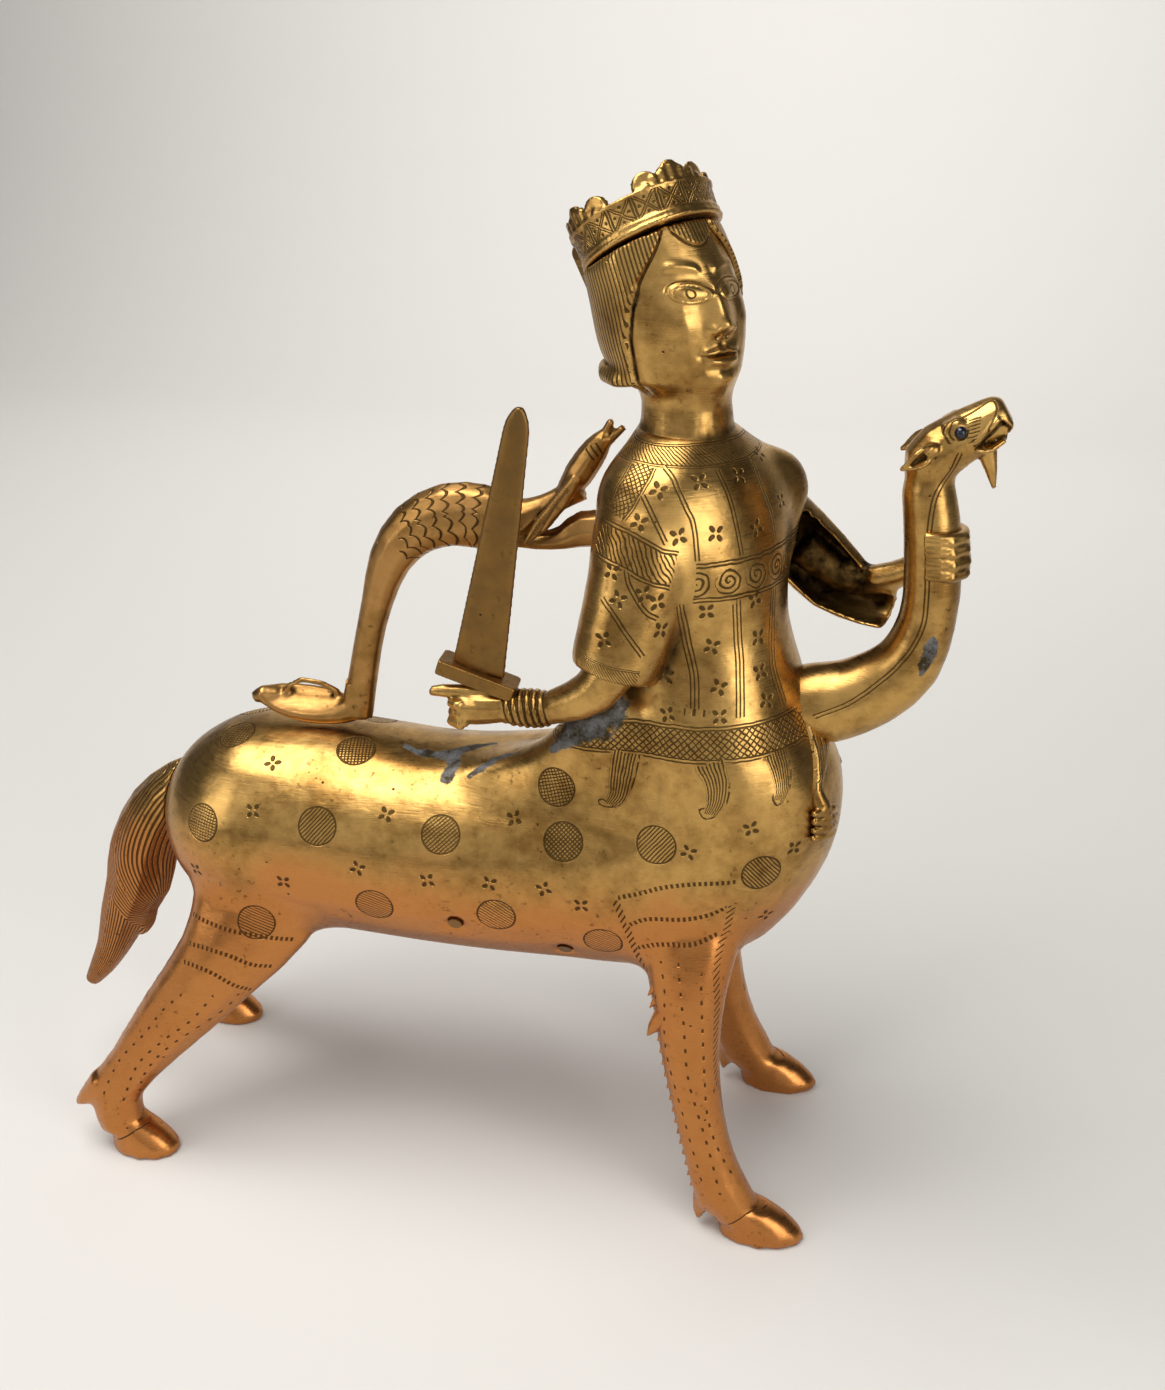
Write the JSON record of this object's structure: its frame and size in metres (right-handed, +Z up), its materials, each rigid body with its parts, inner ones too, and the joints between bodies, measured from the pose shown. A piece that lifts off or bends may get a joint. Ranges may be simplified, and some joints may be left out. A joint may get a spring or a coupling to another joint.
{
  "type": "aquamanile",
  "caption": "Cast water pourer shaped as a crowned centaur, with a hinged crown lid over the filler mouth, a dragon spout at the breast and a dragon handle on the back.",
  "frame": {"origin": "middle of the footprint's bounding box on the ground under the soles", "axes": "+X the way the centaur walks, +Y its left side, +Z up"},
  "size_m": [0.3407, 0.1042, 0.3684],
  "materials": {
    "cast_brass": "polished and worn",
    "copper_brass": "polished, copper red",
    "dull_brass": "dull brown patina",
    "solder": "dull grey solder",
    "eye_glass": "dark inlaid bead"
  },
  "bodies": {
    "vessel": {"horse_body": "cast_brass", "torso": "cast_brass", "head": "cast_brass", "hinge_lugs": "cast_brass", "hinge_pin": "dull_brass", "front_right_leg": "copper_brass", "front_left_leg": "copper_brass", "hind_right_leg": "copper_brass", "hind_left_leg": "copper_brass", "tail": "cast_brass", "right_sleeve": "cast_brass", "right_forearm": "copper_brass", "right_hand": "copper_brass", "sword_blade": "dull_brass", "sword_guard": "dull_brass", "arm_web": "solder", "left_sleeve": "cast_brass", "left_forearm": "cast_brass", "left_hand": "cast_brass", "spout_neck": "cast_brass", "spout_head": "cast_brass", "spout_ears": "cast_brass", "spout_eyes": "eye_glass", "spout_beard": "cast_brass", "spout_paws": "cast_brass", "handle_grip": "dull_brass", "handle_foot": "dull_brass", "handle_head": "dull_brass", "handle_wings": "dull_brass", "handle_claws": "dull_brass", "core_plugs": "dull_brass"},
    "crown": {"crown_lid": "cast_brass"}
  },
  "joints": [
    {"name": "crown_hinge", "type": "hinge", "parent": "vessel", "child": "crown", "pos_m": [0.03672, 0.01626, 0.33768], "axis": [-0.5878, -0.809, 0], "range_deg": [0, 105]}
  ]
}
